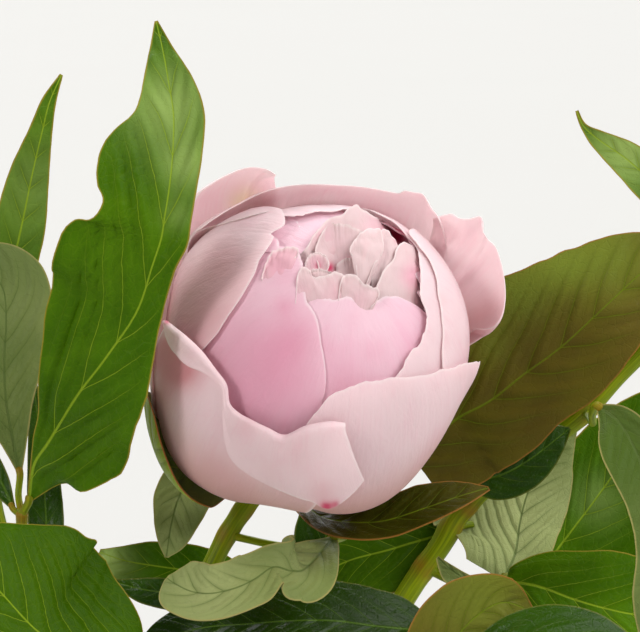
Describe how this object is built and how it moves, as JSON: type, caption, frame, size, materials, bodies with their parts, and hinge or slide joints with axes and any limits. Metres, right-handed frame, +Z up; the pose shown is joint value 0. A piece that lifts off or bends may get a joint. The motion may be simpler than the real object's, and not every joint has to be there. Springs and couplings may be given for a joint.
{
  "type": "peony in a bud vase",
  "caption": "Half-open pink peony bloom on leafy cut stems, standing in a plain glazed ceramic bud vase that rests on its flat foot.",
  "frame": {"origin": "centre of the vase's flat foot, on the surface that it stands on", "axes": "+Z up along the vase's axis, -Y towards the side that the bloom faces, +X to the right as seen from that side"},
  "size_m": [0.246, 0.1516, 0.4241],
  "materials": {
    "vase_glaze": "satin",
    "stem": "satin",
    "receptacle": "matte",
    "sepal": "satin",
    "outer_petal": "matte",
    "inner_petal": "matte",
    "centre_petal": "matte",
    "leaf_green": "satin",
    "leaf_dark": "satin",
    "leaf_pale": "matte",
    "leaf_bronze": "satin"
  },
  "bodies": {
    "root": {"bud_vase": "vase_glaze", "receptacle": "receptacle", "guard_petal_front_left": "outer_petal", "guard_petal_front_right": "outer_petal", "guard_petal_left": "outer_petal", "guard_petal_back_left": "outer_petal", "guard_petal_back_low": "outer_petal", "guard_petal_right": "outer_petal", "guard_petal_back": "outer_petal", "shaded_petal_left": "outer_petal", "folded_petal_right": "outer_petal", "opening_petal_right": "outer_petal", "opening_petal_back": "outer_petal", "rose_petal_left": "inner_petal", "rose_petal_front": "inner_petal", "ragged_petal_right": "inner_petal", "core_petal_left": "inner_petal", "core_petal_back": "inner_petal", "core_petal_front": "inner_petal", "centre_petal_1": "centre_petal", "centre_petal_2": "centre_petal", "centre_petal_3": "centre_petal", "centre_petal_4": "centre_petal", "centre_petal_5": "centre_petal", "centre_petal_6": "centre_petal", "centre_petal_7": "centre_petal", "centre_petal_8": "centre_petal", "centre_petal_9": "centre_petal", "centre_petal_10": "centre_petal", "centre_petal_11": "centre_petal", "sepal_left": "sepal", "sepal_right": "sepal", "sepal_back": "sepal", "sepal_back_left": "sepal", "flower_stem": "stem", "leafy_stem": "stem", "leaf_upright": "leaf_green", "leaf_left": "leaf_pale", "leaf_left_small": "leaf_dark", "leaf_back_left": "leaf_green", "leaf_back_strip": "leaf_dark", "leaf_low_left": "leaf_green", "leaf_curled": "leaf_pale", "leaf_withered": "leaf_pale", "leaf_broad_right": "leaf_bronze", "leaf_under_right": "leaf_dark", "leaf_pale_right": "leaf_pale", "leaf_far_right": "leaf_green", "leaf_hanging_right": "leaf_pale", "leaf_low_right": "leaf_green", "leaf_small_pale": "leaf_pale", "leaf_olive_low": "leaf_bronze", "leaf_front_low_right": "leaf_dark", "leaf_glossy_low": "leaf_dark", "leaf_behind_stem": "leaf_green", "leaf_back_low_left": "leaf_green", "leaf_dark_low_left": "leaf_dark", "leaf_back_centre": "leaf_dark", "leaf_top_right": "leaf_green", "bract": "leaf_bronze"}
  },
  "joints": []
}
